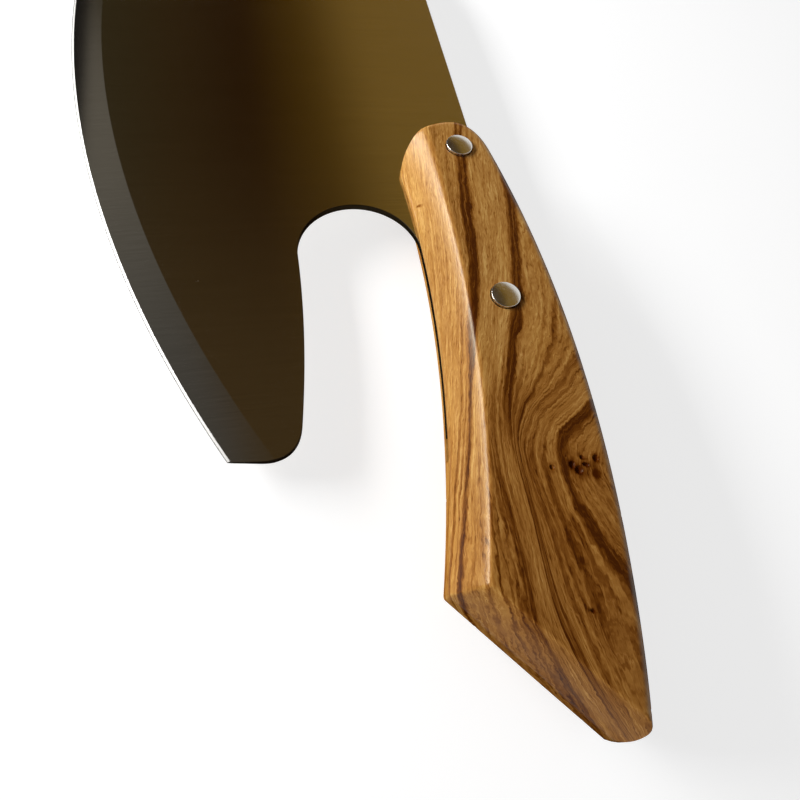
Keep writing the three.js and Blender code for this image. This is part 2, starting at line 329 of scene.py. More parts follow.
def handle_outline():
    butt_radius = HANDLE_ROUNDING + BUTT_EASE
    tail_radius = HANDLE_ROUNDING + TAIL_EASE
    belly_inset = (*belly[:2], BELLY_RADIUS + butt_radius)
    back_inset = (*back[:2], BACK_RADIUS - tail_radius)
    butt_centre = crossing(cut_start + cut_inward * butt_radius, cut_direction, belly_inset)
    tail_centre = crossing(cut_start + cut_inward * tail_radius, cut_direction, back_inset)
    belly_end, back_start = angle_of(belly, butt_centre), angle_of(back, tail_centre)
    butt, tail = (*butt_centre, butt_radius), (*tail_centre, tail_radius)
    cut_out = QUARTER + BUTT_ANGLE
    slot_back, slot_belly = low_angle(back, SLOT_END), low_angle(belly, SLOT_END)
    return closed(
        arc(back, back_start, slot_back),
        arc(back, slot_back, low_angle(back, HANDLE_FRONT - FRONT_BACK_RUN)),
        front_quarter(back, FRONT_BACK_RUN),
        front_quarter(belly, FRONT_BELLY_RUN)[::-1],
        arc(belly, low_angle(belly, HANDLE_FRONT - FRONT_BELLY_RUN), slot_belly),
        arc(belly, slot_belly, belly_end),
        arc(butt, belly_end + math.pi, cut_out, CORNER_PITCH),
        straight(at_angle(butt, cut_out), at_angle(tail, cut_out)),
        arc(tail, cut_out, back_start + 2 * math.pi, CORNER_PITCH),
    )


# Meshes

class Shape:
    """A mesh in the making: vertices, faces, and the number of each face's material."""

    def __init__(self):
        self.vertices, self.faces, self.looks = [], [], []

    def add(self, points):
        first = len(self.vertices)
        self.vertices += [tuple(p) for p in points]
        return list(range(first, first + len(points)))

    def at_height(self, points, height):
        return self.add(np.column_stack([points, np.broadcast_to(height, len(points))]))

    def face(self, vertices, look=0):
        self.faces.append(tuple(vertices))
        self.looks.append(look)

    def strip(self, upper, lower, is_closed=True, look=0):
        """Quads between two rows of vertices."""
        last = len(upper) if is_closed else len(upper) - 1
        for i in range(last):
            j = (i + 1) % len(upper)
            self.face((upper[i], upper[j], lower[j], lower[i]), look)

    def fill(self, vertices, triangles, facing_up, look=0):
        turn = 1 if facing_up else -1
        for triangle in triangles[:, ::turn]:
            self.face((vertices[i] for i in triangle), look)


def make_piece(name, shape, materials, slot, *nodes, crease=CREASE):
    mesh = bpy.data.meshes.new(name)
    low, high = (np.array(corner - rivet_axis) for corner in cad_box)
    mesh.from_pydata(np.clip(np.array(shape.vertices) * MM, low, high).tolist(), [], shape.faces)
    mesh.polygons.foreach_set("use_smooth", [True] * len(mesh.polygons))
    mesh.polygons.foreach_set("material_index", shape.looks)
    mesh.set_sharp_from_angle(angle=crease)
    for material in materials:
        mesh.materials.append(material)
    made = bpy.data.objects.new(name, mesh)
    bpy.context.scene.collection.objects.link(made)
    made.location = rivet_axis
    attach(made, "root")
    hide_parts(*nodes)
    return made


def middle_of(node):
    low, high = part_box(node)
    return (low + high) / 2


rivet_axis = Vector((*middle_of("front_rivet_stud")[:2], middle_of("blade")[2]))


def blade_height(points, loop):
    """Half thickness of the blade: flat cheek, ground band, honed strip and broken edges."""
    inward = EDGE_RADIUS - np.linalg.norm(points - np.array(edge[:2]), axis=1)
    ground = np.interp(inward, [0, HONED_WIDTH, BEVEL_WIDTH], [HONED_END, BEVEL_END, HALF_BLADE])
    eased = HALF_BLADE - BLADE_EASE + np.minimum(edge_distance(points, loop), BLADE_EASE)
    return np.minimum(ground, np.where(inward > BEVEL_WIDTH, eased, HALF_BLADE))


def edge_row(inset, pitch=OUTLINE_PITCH):
    """Points along the cutting edge, at a distance inwards."""
    return arc((*edge[:2], EDGE_RADIUS - inset), *EDGE_SPAN, pitch)


def build_blade(*materials):
    loop = blade_outline()
    holes = [ring(x, 0, BORE_RADIUS) for x in RIVET_PLACES.values()]
    insets = (HONED_WIDTH, BEVEL_WIDTH - BEVEL_LINE, BEVEL_WIDTH + BEVEL_LINE)
    band = [edge_row(inset, BEVEL_PITCH) for inset in BEVEL_ROWS]
    loose = np.vstack([*map(edge_row, insets), inset_loop(loop, BLADE_EASE), *band])
    loose = loose[inside(loose, loop) & (edge_distance(loose, loop) > EASE_CLEAR)]
    places, triangles, rows = triangulate([loop, *holes], loose)
    height = blade_height(places, loop)
    for row in rows[1:]:
        height[row] = HALF_BLADE
    shape = Shape()
    top = shape.at_height(places, height)
    bottom = shape.at_height(places, -height)
    from_edge = EDGE_RADIUS - np.linalg.norm(places - np.array(edge[:2]), axis=1)
    honed = from_edge[triangles].max(axis=1) < HONED_WIDTH + SLACK
    broken = edge_distance(places[triangles].mean(axis=1), loop) < BLADE_EASE
    for look, chosen in enumerate((~honed & ~broken, broken, honed & ~broken)):
        shape.fill(top, triangles[chosen], True, look)
        shape.fill(bottom, triangles[chosen], False, look)
    for row in rows:
        shape.strip([bottom[i] for i in row], [top[i] for i in row], look=1)
    make_piece("blade_ground", shape, materials, "blade_steel", "blade", crease=BLADE_CREASE)


def inset_loop(loop, distance):
    """The outline moved inwards; it runs counter-clockwise."""
    along = np.roll(loop, -1, axis=0) - np.roll(loop, 1, axis=0)
    along /= np.linalg.norm(along, axis=1)[:, None]
    return loop + distance * np.column_stack([-along[:, 1], along[:, 0]])


def blend_low(first, second, reach):
    """The lower of two heights, run smoothly into each other where they come within reach."""
    near = np.maximum(reach - np.abs(first - second), 0) / reach
    return np.minimum(first, second) - near**2 * reach / 4


def by_x(table, x):
    return np.interp(x, *zip(*table))


def facet_height(inward, chamfer, wear):
    """Height of a facet, inward from its lower edge: a worn edge, then a slightly swelling slope."""
    rise = HALF_HANDLE - HALF_LAND
    share = np.maximum(inward, 0) / chamfer
    on_facet, beyond = share + FACET_CROWN * share * (1 - share), 1 + (1 - FACET_CROWN) * (share - 1)
    swell = np.where(share < 1, on_facet, beyond)
    slope = np.arctan(rise / chamfer * (1 + FACET_CROWN))
    radius = wear / np.tan((QUARTER - slope) / 2)
    round_end = wear * np.cos(slope)
    depth = np.clip(inward, 0, round_end)
    nose = HALF_LAND - wear + np.sqrt(2 * radius * depth - depth**2)
    return np.where(inward < round_end, nose, HALF_LAND + rise * swell)


def handle_faces(points, loop):
    """Half thickness of the handle by each of its faces: side, belly facet and butt facet."""
    short = HANDLE_ROUNDING - np.minimum(edge_distance(points, loop), HANDLE_ROUNDING)
    side = HALF_HANDLE - HANDLE_ROUNDING + np.sqrt(HANDLE_ROUNDING**2 - short**2)
    x = points[:, 0]
    from_belly = np.linalg.norm(points - np.array(belly[:2]), axis=1) - BELLY_RADIUS
    from_cut = (points - cut_start) @ cut_inward
    belly_facet = facet_height(from_belly, by_x(BELLY_CHAMFERS, x), by_x(EDGE_WEAR, x))
    return side, belly_facet, facet_height(from_cut, BUTT_CHAMFER, EDGE_WEAR[0][1])


def handle_height(points, loop):
    """Half thickness of the handle, with worn arrises where its faces meet."""
    side, belly_facet, butt_facet = handle_faces(points, loop)
    arris = blend_low(side, belly_facet, by_x(ARRIS_WEAR, points[:, 0]))
    return blend_low(arris, butt_facet, BUTT_WEAR)


def painted_arris_highlight(points, loop):
    """How near each point is to the arris of the butt facet, from 0 to 1: the share of its painted highlight.
    """
    side, belly_facet, butt_facet = handle_faces(points, loop)
    return np.clip(1 - np.abs(np.minimum(side, belly_facet) - butt_facet) / ARRIS_HIGHLIGHT_REACH, 0, 1)


def lean_tail(vertices):
    """The vertices, with the tail's end leaning in above and below the slot."""
    height = np.maximum(np.abs(vertices[:, 2]) - HALF_SLOT, 0)
    share = np.interp(vertices[:, 0], TAIL_RUN, (1, 0)) ** 2
    return vertices + np.outer(TAIL_LEAN * height * share, (1, 0, 0))


def pit_shares(points, spread=1.0):
    """For each pit, how far each point is in it, from 0 at its rim to 1 in its middle."""
    for x, y, length, width, turn, _ in PITS:
        along = np.array([math.cos(math.radians(turn)), math.sin(math.radians(turn))])
        off_x, off_y = (points - [x, y]) @ along, (points - [x, y]) @ [-along[1], along[0]]
        share = np.clip(1 - (off_x / length / spread) ** 2 - (off_y / width / spread) ** 2, 0, 1)
        yield share * (2 - share)


def pit_depth(points):
    return np.max([share * pit[-1] for share, pit in zip(pit_shares(points), PITS)], axis=0)


def handle_points(loop, holes):
    """Points over the handle's side: rows along edges, arrises and pits, and an even grid between."""
    leans = np.linspace(0, QUARTER, ROUND_ROWS + 1)[1:]
    rows = [inset_loop(loop, HANDLE_ROUNDING * (1 - math.cos(lean))) for lean in leans]
    for inset in ARRIS_ROWS:
        x = np.arange(ARRIS_END, HANDLE_FRONT, OUTLINE_PITCH)
        radius = BELLY_RADIUS + by_x(BELLY_CHAMFERS, x) + inset
        rows.append(np.column_stack([x, belly[1] - np.sqrt(radius**2 - (x - belly[0]) ** 2)]))
        start = cut_start + cut_inward * (BUTT_CHAMFER + inset)
        rows.append(straight(start, start + BUTT_RUN * cut_direction))
    for x in RIVET_PLACES.values():
        rows.append(ring(x, 0, SEAT_RADIUS + GRID_PITCH, SEAT_SEGMENTS))
    for x, y, length, width, *_ in PITS:
        size = (length + width) / 2
        rows += [ring(x, y, share * size, PIT_SEGMENTS) for share in PIT_RINGS]
    features = np.vstack(rows)
    low, high = loop.min(axis=0), loop.max(axis=0)
    across = np.arange(low[0], high[0], GRID_PITCH)
    down = np.arange(low[1], high[1], GRID_PITCH * math.sqrt(3) / 2)
    grid_x, grid_y = np.meshgrid(across, down)
    grid_x[1::2] += GRID_PITCH / 2
    grid = np.column_stack([grid_x.ravel(), grid_y.ravel()])
    found = thinned(features, ROW_CLEAR)
    found = np.vstack([found, clear_of(grid, found, GRID_CLEAR)])
    found = found[inside(found, loop)]
    found = found[edge_distance(found, loop) > OUTLINE_CLEAR]
    for hole in holes:
        found = found[~inside(found, hole) & (edge_distance(found, hole) > SEAT_CLEAR)]
    return found


def thinned(points, spacing):
    """The points, less those that crowd an earlier one."""
    cells, kept = {}, []
    for point in points:
        cell = (math.floor(point[0] / spacing), math.floor(point[1] / spacing))
        around = (cells.get((cell[0] + i, cell[1] + j)) for i in (-1, 0, 1) for j in (-1, 0, 1))
        if all(other is None or math.dist(other, point) >= spacing for other in around):
            cells[cell] = point
            kept.append(point)
    return np.array(kept)


def clear_of(points, others, spacing):
    """The points that lie at least the spacing away from all the others."""
    gaps = [np.min(np.sum((others - point) ** 2, axis=1)) for point in points]
    return points[np.array(gaps) >= spacing**2]


def slotted_stretch(loop):
    """The numbers of the outline's points, in order, where the tang's slot opens."""
    slotted = [i for i, point in enumerate(loop) if point[0] > SLOT_END - SLACK]
    first = next(i for i in slotted if i - 1 not in slotted)
    return [(first + k) % len(loop) for k in range(len(slotted))]


def add_seat(shape, x, turn, mouth, bottom):
    """The walls of a rivet's stepped hole, from its mouth in the side face to the slot."""
    floor = turn * (HALF_HANDLE - HEAD_SEAT)
    floor_rows = [shape.at_height(ring(x, 0, radius), floor) for radius in (SEAT_RADIUS, BORE_RADIUS)]
    steps = [mouth, *floor_rows, bottom]
    for upper, lower in zip(steps, steps[1:]):
        shape.strip(*((upper, lower) if turn > 0 else (lower, upper)))


def close_tail(shape, slotted, upper, lower):
    """The handle's wall behind the slot, and the end of the slot."""
    tail = [i for i in range(len(upper)) if i not in slotted[1:-1]]
    start = tail.index(slotted[-1])
    tail = tail[start:] + tail[:start]
    upper, lower = [upper[i] for i in tail], [lower[i] for i in tail]
    shape.strip(lower, upper, is_closed=False)
    shape.face((upper[0], upper[-1], lower[-1], lower[0]))


def build_handle(material):
    loop = handle_outline()
    rivets = RIVET_PLACES.values()
    holes, bores = ([ring(x, 0, radius) for x in rivets] for radius in (SEAT_RADIUS, BORE_RADIUS))
    places, triangles, rows = triangulate([loop, *holes], handle_points(loop, holes))
    height = handle_height(places, loop)
    slotted = slotted_stretch(loop)
    slot_places, slot_triangles, slot_rows = triangulate([loop[slotted], *bores])
    shape, slot_edges = Shape(), []
    for turn in (1, -1):
        face = shape.at_height(places, height - pit_depth(places) if turn > 0 else -height)
        shape.fill(face, triangles, turn > 0)
        outer = [face[i] for i in rows[0]]
        inner = shape.at_height(loop, turn * HALF_SLOT)
        shape.strip(*((inner, outer) if turn > 0 else (outer, inner)))
        slot_edges.append(inner)
        cheek = shape.at_height(slot_places, turn * HALF_SLOT)
        for index, old in zip(slot_rows[0], slotted):
            cheek[index] = inner[old]
        shape.fill(cheek, slot_triangles, turn < 0)
        for x, hole, bore in zip(rivets, rows[1:], slot_rows[1:]):
            add_seat(shape, x, turn, [face[i] for i in hole], [cheek[i] for i in bore])
    close_tail(shape, slotted, *slot_edges)
    vertices = np.array(shape.vertices)
    shape.vertices = lean_tail(vertices)
    made = make_piece("handle_olive_wood", shape, [material], "handle_wood", "handle")
    # dark stain about the pits, darkest in their hollows, where it is painted shade
    pit_stain_and_shade = np.max(list(pit_shares(vertices[:, :2], PIT_STAIN_AND_SHADE)), axis=0) * (vertices[:, 2] > HALF_LAND)
    pale = painted_arris_highlight(vertices[:, :2], loop)
    for name, values in (("grain", grain_order(vertices)), ("pit", pit_stain_and_shade), ("painted_arris_highlight", pale)):
        made.data.attributes.new(name, "FLOAT", "POINT").data.foreach_set("value", values)


def lathe(profile, x):
    """A solid of revolution about Z from [radius, z] pairs that start and end on the axis."""
    shape = Shape()
    first = shape.add([(x, 0, profile[0][1])])[0]
    rows = [shape.at_height(ring(x, 0, radius), z) for radius, z in profile[1:-1]]
    last = shape.add([(x, 0, profile[-1][1])])[0]
    for lower, upper in zip(rows, rows[1:]):
        shape.strip(upper, lower)
    for i in range(RIVET_SEGMENTS):
        j = (i + 1) % RIVET_SEGMENTS
        shape.face((first, rows[0][j], rows[0][i]))
        shape.face((last, rows[-1][i], rows[-1][j]))
    return shape


def head_profile():
    """A rivet head from its underside to its crown: upright rim, eased edge and a shallow dome."""
    rise = HEAD_CROWN - HEAD_RIM
    dome = (HEAD_RADIUS**2 + rise**2) / (2 * rise)
    crown = HALF_HANDLE + HEAD_CROWN
    edge_lean = math.asin((HEAD_RADIUS - HEAD_EASE) / (dome - HEAD_EASE))
    ease_height = crown - dome + (dome - HEAD_EASE) * math.cos(edge_lean)
    profile = [(HEAD_RADIUS, HALF_HANDLE - HEAD_SEAT + SEAT_GAP)]
    for lean in np.linspace(QUARTER, edge_lean, RIM_STEPS):
        radius = HEAD_RADIUS - HEAD_EASE * (1 - math.sin(lean))
        profile.append((radius, ease_height + HEAD_EASE * math.cos(lean)))
    for lean in np.linspace(edge_lean, 0, DOME_STEPS)[1:-1]:
        profile.append((dome * math.sin(lean), crown - dome * (1 - math.cos(lean))))
    return profile


def build_rivets(material):
    crown, under = HALF_HANDLE + HEAD_CROWN, HALF_HANDLE - HEAD_SEAT + SEAT_GAP
    bore, bore_bottom = STUD_RADIUS + BORE_GAP, -under + BORE_END
    stud_end, mouth = bore_bottom + BORE_GAP, under - BORE_GAP
    head = head_profile()
    far_head = [(radius, -z) for radius, z in reversed(head)]
    for end, x in RIVET_PLACES.items():
        stud = [(0, stud_end), (STUD_RADIUS, stud_end), (STUD_RADIUS, under), *head, (0, crown)]
        tube = [
            (0, -crown), *far_head, (TUBE_RADIUS, -under), (TUBE_RADIUS, mouth),
            (bore, mouth), (bore, bore_bottom), (0, bore_bottom),
        ]
        make_piece(f"{end}_stud_domed", lathe(stud, x), [material], "rivet_steel", f"{end}_rivet_stud")
        make_piece(f"{end}_tube_domed", lathe(tube, x), [material], "rivet_steel", f"{end}_rivet_tube")


# Olive wood figure

# Lines of the grain on the upper side face: the place of each in the order of the grain, and its [x, y]
# points from the front to the tail. Between two lines the order runs on evenly.
GRAIN_LINES = {
    30: [(10, 18), (-20, 22), (-60, 32), (-95, 43), (-125, 45)],
    10: [(10, -2), (-3, 0.3), (-17, 2.2), (-33, 4.5), (-45, 7.5), (-58, 11.9), (-70, 15.8),
         (-80, 19.4), (-95, 24.5), (-125, 27)],
    4.5: [(10, -8.5), (-20, -3.8), (-40, 0.8), (-50, 4), (-60, 7.6), (-68, 10), (-75, 11), (-95, 11.3),
          (-103, 11.8), (-110, 10.8), (-125, 8)],
    0: [(10, -13), (-8, -9.6), (-20, -8.2), (-33, -5), (-45, -2), (-55, 2.2), (-65, 5.5), (-75, 7.2),
        (-90, 7.5), (-103, 8), (-112, 6), (-125, 2.5)],
    -4: [(10, -20), (-20, -14), (-42, -9.8), (-50, -7), (-55, -4.5), (-60, -1.2), (-66, 3.5), (-72, 6),
         (-80, 6.5), (-100, 6.7), (-112, 4.8), (-125, 1)],
    -7: [(10, -26), (-40, -16), (-57, -10.5), (-60, -7), (-63, -3.5), (-66, 0.6), (-70, 3.8), (-75, 5.5),
         (-82, 5.6), (-90, 5.2), (-100, 5), (-112, 3.2), (-125, 0)],
    -9.5: [(10, -32), (-40, -22), (-60, -12.5), (-64, -8), (-68, -2), (-72, 1.6), (-78, 3.2), (-85, 3),
           (-92, 2.2), (-100, 1.2), (-110, 0.4), (-125, -1.5)],
    -12: [(10, -38), (-40, -28), (-62, -16), (-66, -10.5), (-70, -4.5), (-73, -2.2), (-77, -0.9), (-82, -1),
          (-86, -1.7), (-90, -3.1), (-94, -4.6), (-99, -6.3), (-110, -8.5), (-125, -11)],
    -16: [(10, -48), (-66, -24), (-72, -12), (-78, -7), (-86, -8), (-99, -12), (-125, -17)],
    -30: [(10, -64), (-78, -30), (-125, -35)],
}
GRAIN_GAP = 0.05  # least distance between two lines
GRAIN_SLANT = 0.7  # how far the grain moves across per millimetre of depth below the upper side face

# Dark streaks: place in the grain, half width towards the back and towards the belly, x where it starts,
# x where it ends, and depth of colour.
STREAKS = [
    (9.5, 0.4, 0.4, 14, -56, 0.42), (10.6, 0.35, 0.6, 14, -54, 0.42), (10.1, 0.9, 1.1, 5, -54, 0.34),
    (9.7, 1.0, 0.9, -24, -52, 0.2), (11.6, 1.0, 2.4, 4, -52, 0.14), (13.6, 0.25, 0.25, 4, -30, 0.14),
    (8.4, 0.3, 0.35, 12, -2, 0.3), (16.0, 1.6, 1.6, 14, -12, 0.14),
    (10.2, 0.6, 0.7, -44, -104, 0.56), (11.5, 0.3, 0.3, -40, -92, 0.26), (12.9, 0.4, 0.5, -46, -98, 0.34),
    (15.2, 0.4, 0.5, -66, -100, 0.26), (18.0, 0.6, 0.6, -72, -102, 0.2),
    (-0.1, 0.4, 0.5, -2, -70, 0.44), (1.0, 0.4, 0.8, -2, -66, 0.36), (0.5, 0.8, 1.3, -4, -72, 0.34),
    (1.7, 1.0, 1.6, 0, -40, 0.1), (2.4, 0.3, 0.4, -48, -84, 0.26),
    (-3.1, 0.2, 0.25, -40, -76, 0.18), (-4.3, 0.25, 0.4, -38, -76, 0.32), (-5.6, 0.2, 0.25, -48, -76, 0.2),
    (-7.0, 0.4, 0.6, -50, -80, 0.32), (-8.2, 0.3, 0.3, -56, -80, 0.2),
    (-3.2, 2.2, 1.6, -62, -116, 0.22), (-1.4, 0.5, 0.5, -60, -122, 0.3), (-4.2, 0.4, 0.4, -66, -118, 0.22),
    (-7.4, 0.5, 0.5, -74, -114, 0.26), (-8.7, 0.25, 0.25, -78, -106, 0.2), (-9.8, 0.4, 0.4, -74, -108, 0.26),
    (-10.7, 0.3, 0.3, -82, -122, 0.16), (-12, 0.9, 0.4, -60, -111, 0.5), (-13.2, 0.8, 0.8, -60, -75, 0.26),
    (3.9, 0.55, 0.6, -58, -128, 0.34), (4.6, 0.15, 0.15, -64, -124, 0.24), (5.1, 0.14, 0.14, -68, -125, 0.24),
    (5.6, 0.1, 0.1, -80, -118, 0.14), (6.2, 0.14, 0.14, -66, -120, 0.28), (7.4, 0.16, 0.2, -74, -120, 0.22),
    (8.6, 0.2, 0.2, -80, -122, 0.22),
]

# Pits in the upper side of the wood: x, y, half length, half width, turn in degrees and depth.
PITS = [
    (-78.7, -3.6, 0.85, 0.6, 20, 0.5), (-77.6, -2.7, 0.75, 0.55, -15, 0.5),
    (-76.5, -4.9, 0.45, 0.32, 40, 0.3), (-77.9, -5.2, 0.6, 0.34, 60, 0.35),
    (-77, -7.5, 0.7, 0.5, 10, 0.35), (-77.6, 1.2, 0.5, 0.38, 0, 0.3), (-101.6, 1.7, 0.4, 0.26, 50, 0.3),
    (-12.3, 10.9, 0.42, 0.2, 40, 0.25), (-79.9, -6.7, 0.8, 0.6, 0, 0.02),
]
PIT_STAIN_AND_SHADE = 1.6  # how far the dark stain and the painted shade of the pits reach, in pit sizes
KNOT = (-78.3, -4.8)
KNOT_STRETCH = (0.8, 0.75, 0.4)
KNOT_REACH = (3.4, 0.4)  # where the wood begins to darken, and where it is darkest
KNOT_SWIRL = 2.4
KNOT_SHADE = 0.2


def smooth_line(points, x):
    """Heights at x of a smooth line through points that run from the front to the tail."""
    nodes = np.array(points, float)[::-1]
    slope = np.gradient(nodes[:, 1], nodes[:, 0])
    x = np.clip(x, nodes[0, 0], nodes[-1, 0])
    i = np.clip(np.searchsorted(nodes[:, 0], x) - 1, 0, len(nodes) - 2)
    width = nodes[i + 1, 0] - nodes[i, 0]
    t = (x - nodes[i, 0]) / width
    return (
        (1 + 2 * t) * (1 - t) ** 2 * nodes[i, 1] + t * (1 - t) ** 2 * width * slope[i]
        + t**2 * (3 - 2 * t) * nodes[i + 1, 1] + t**2 * (t - 1) * width * slope[i + 1]
    )


def grain_order(vertices):
    """The place of each vertex across the grain."""
    x, depth = vertices[:, 0], HALF_HANDLE - vertices[:, 2]
    y = vertices[:, 1] + GRAIN_SLANT * depth
    places = sorted(GRAIN_LINES)
    lines = np.array([smooth_line(GRAIN_LINES[place], x) for place in places])
    order = np.full(len(x), float(places[0]))
    for i in range(len(places) - 1):
        low, high = lines[i], lines[i + 1]
        share = np.clip((y - low) / np.maximum(high - low, GRAIN_GAP), 0, 1)
        order = np.where(y >= low, places[i] + share * (places[i + 1] - places[i]), order)
    order += np.maximum(y - lines[-1], 0)
    return order - np.maximum(lines[0] - y, 0)


# Materials

class Nodes:
    """Adds nodes to a node tree, up to its shader; a value is a socket or a plain number."""

    def __init__(self, tree, end):
        self.tree, self.end = tree, tree.nodes[end].inputs

    def add(self, kind, inputs, **settings):
        node = self.tree.nodes.new(kind)
        for name, value in settings.items():
            setattr(node, name, value)
        for key, value in inputs.items():
            self.put(node.inputs[key], value)
        return node

    def put(self, socket, value):
        if isinstance(value, bpy.types.NodeSocket):
            self.tree.links.new(value, socket)
        else:
            socket.default_value = value

    def set(self, name, value):
        """Sets an input of the shader at the tree's end."""
        self.put(self.end[name], value)

    def math(self, operation, *values):
        return self.add("ShaderNodeMath", dict(enumerate(values)), operation=operation).outputs[0]

    def times(self, first, second):
        return self.math("MULTIPLY", first, second)

    def total(self, first, *others):
        for other in others:
            first = self.math("ADD", first, other)
        return first

    def smooth(self, value, low, high, to_low=0.0, to_high=1.0):
        inputs = {"Value": value, "From Min": low, "From Max": high, "To Min": to_low, "To Max": to_high}
        return self.add("ShaderNodeMapRange", inputs, interpolation_type="SMOOTHSTEP").outputs[0]

    def vector(self, x, y, z):
        return self.add("ShaderNodeCombineXYZ", {0: x, 1: y, 2: z}).outputs[0]

    def scaled(self, vector, factors):
        return self.add("ShaderNodeVectorMath", {0: vector, 1: factors}, operation="MULTIPLY").outputs[0]

    def noise(self, vector, detail=2.0, roughness=0.5):
        """Noise about zero, from -1 to 1, with features about one unit wide."""
        inputs = {"Vector": vector, "Scale": 1.0, "Detail": detail, "Roughness": roughness}
        found = self.add("ShaderNodeTexNoise", inputs).outputs[0]
        return self.math("MULTIPLY_ADD", found, 2.0, -1.0)

    def pattern(self, point, scale, detail=2.0, roughness=0.5):
        return self.noise(self.scaled(point, scale), detail, roughness)

    def about(self, middle, pattern, reach):
        """A value that a pattern about zero moves to both sides."""
        return self.math("MULTIPLY_ADD", pattern, reach, middle)

    def attribute(self, name):
        return self.add("ShaderNodeAttribute", {}, attribute_name=name).outputs["Fac"]

    def ramp(self, value, stops):
        node = self.add("ShaderNodeValToRGB", {0: value})
        elements = node.color_ramp.elements
        elements.remove(elements[1])
        elements[0].position, elements[0].color = stops[0][0], (*stops[0][1], 1)
        for place, colour in stops[1:]:
            elements.new(place).color = (*colour, 1)
        return node.outputs[0]

    def tones(self, pattern, pair, contrast=0.5):
        """A colour between two tones, by a pattern about zero."""
        return self.ramp(self.about(0.5, pattern, contrast), list(enumerate(pair)))

    def mix(self, share, first, second, blend="MIX"):
        inputs = {0: share, 6: first, 7: second}  # the colour sockets
        return self.add("ShaderNodeMix", inputs, data_type="RGBA", blend_type=blend).outputs[2]

    def bump(self, height, strength, distance):
        inputs = {"Height": height, "Strength": strength, "Distance": distance}
        return self.add("ShaderNodeBump", inputs).outputs[0]

    def place(self):
        """The point on the surface, in millimetres from its object: as a vector, and as x, y and z."""
        found = self.scaled(self.add("ShaderNodeTexCoord", {}).outputs["Object"], (1 / MM,) * 3)
        split = self.add("ShaderNodeSeparateXYZ", {0: found}).outputs
        return found, split[0], split[1], split[2]


def new_material(name):
    material = bpy.data.materials.new(name)
    material.use_nodes = True
    return material, Nodes(material.node_tree, "Principled BSDF")


def new_metal(name):
    material, nodes = new_material(name)
    nodes.set("Metallic", 1)
    return material, nodes, nodes.place()[0]


WHITE = (1, 1, 1, 1)
STEEL_TONES = ((0.46, 0.44, 0.41), (0.66, 0.64, 0.61))
SPECK_TONE = (0.85, 0.83, 0.79, 1)
SPECK_RANGE = (0.66, 0.74)  # peaks of noise
HONED_TONES = ((0.70, 0.69, 0.67), (0.86, 0.85, 0.83))
# The cut edge's near-black tones are a painted dark reflection; the bare cut steel is grey.
CUT_TONES = ((0.012, 0.009, 0.005), (0.032, 0.025, 0.016))
DARK_REFLECTION_TINT = (0.25, 0.18, 0.12, 1)  # painted dark reflection: keeps the cut edge dark at a slant too
RIVET_TONES = ((0.60, 0.585, 0.54), (0.76, 0.75, 0.72))


def steel_material():
    """Satin steel, finely brushed across the blade, with a few specks."""
    material, nodes, point = new_metal("satin_steel")
    hairlines = nodes.pattern(point, (2.5, 0.04, 1), detail=5, roughness=0.85)
    specks = nodes.smooth(nodes.pattern(point, (0.9, 0.6, 0.9), detail=1), *SPECK_RANGE)
    nodes.set("Anisotropic", 0.6)
    nodes.set("Tangent", nodes.vector(1.0, 0.0, 0.0))
    colour = nodes.tones(hairlines, STEEL_TONES, contrast=0.7)
    nodes.set("Base Color", nodes.mix(specks, colour, SPECK_TONE))
    polish = nodes.about(0.17, hairlines, reach=0.03)
    nodes.set("Roughness", nodes.about(polish, specks, reach=0.25))
    nodes.set("Normal", nodes.bump(hairlines, strength=0.1, distance=0.006 * MM))
    return material


def lined_steel_material(name, scale, tones, roughness, depth, tint=WHITE):
    """Duller steel with fine lines: the stone's on the honed edge, or a cut's."""
    material, nodes, point = new_metal(name)
    lines = nodes.pattern(point, scale, detail=3, roughness=0.7)
    nodes.set("Base Color", nodes.tones(lines, tones, contrast=0.6))
    nodes.set("Specular Tint", tint)
    nodes.set("Roughness", nodes.about(roughness, lines, reach=0.1))
    nodes.set("Normal", nodes.bump(lines, strength=0.3, distance=depth * MM))
    return material


def rivet_material():
    """Polished steel with dull patches from handling."""
    material, nodes, point = new_metal("polished_steel")
    worn = nodes.pattern(point, (0.8, 0.8, 0.8), detail=4, roughness=0.6)
    fine = nodes.pattern(point, (5, 5, 5))
    nodes.set("Base Color", nodes.tones(worn, RIVET_TONES))
    nodes.set("Roughness", nodes.about(0.25, worn, reach=0.06))
    relief = nodes.about(worn, fine, reach=0.3)
    nodes.set("Normal", nodes.bump(relief, strength=0.1, distance=0.05 * MM))
    return material


WOOD_TONES = [
    (0.0, (0.058, 0.011, 0.0005)), (0.2, (0.124, 0.034, 0.002)), (0.4, (0.213, 0.074, 0.010)),
    (0.6, (0.335, 0.142, 0.028)), (0.8, (0.455, 0.224, 0.056)), (1.0, (0.590, 0.345, 0.105)),
]
OIL_TINT = (1.0, 0.86, 0.6, 1)  # golden highlights of oiled wood
# Waves in the grain: scale and reach
GRAIN_WAVES = [((0.045, 0.12, 0.12), 0.7), ((0.16, 0.5, 0.5), 0.45), ((0.45, 2.4, 2.4), 0.3)]
GRAIN_DEPTH = 0.03  # scale of the noise into the wood
STREAK_FADE = 1.6  # half widths out to where a streak has faded away
STREAK_BEGIN = 5.0  # on each side of where it starts
STREAK_END = 8.0
STREAK_PATCHES = (22, 1.6, 3)
STREAK_UNEVEN = 0.6
DARKEST_STREAK = 0.64
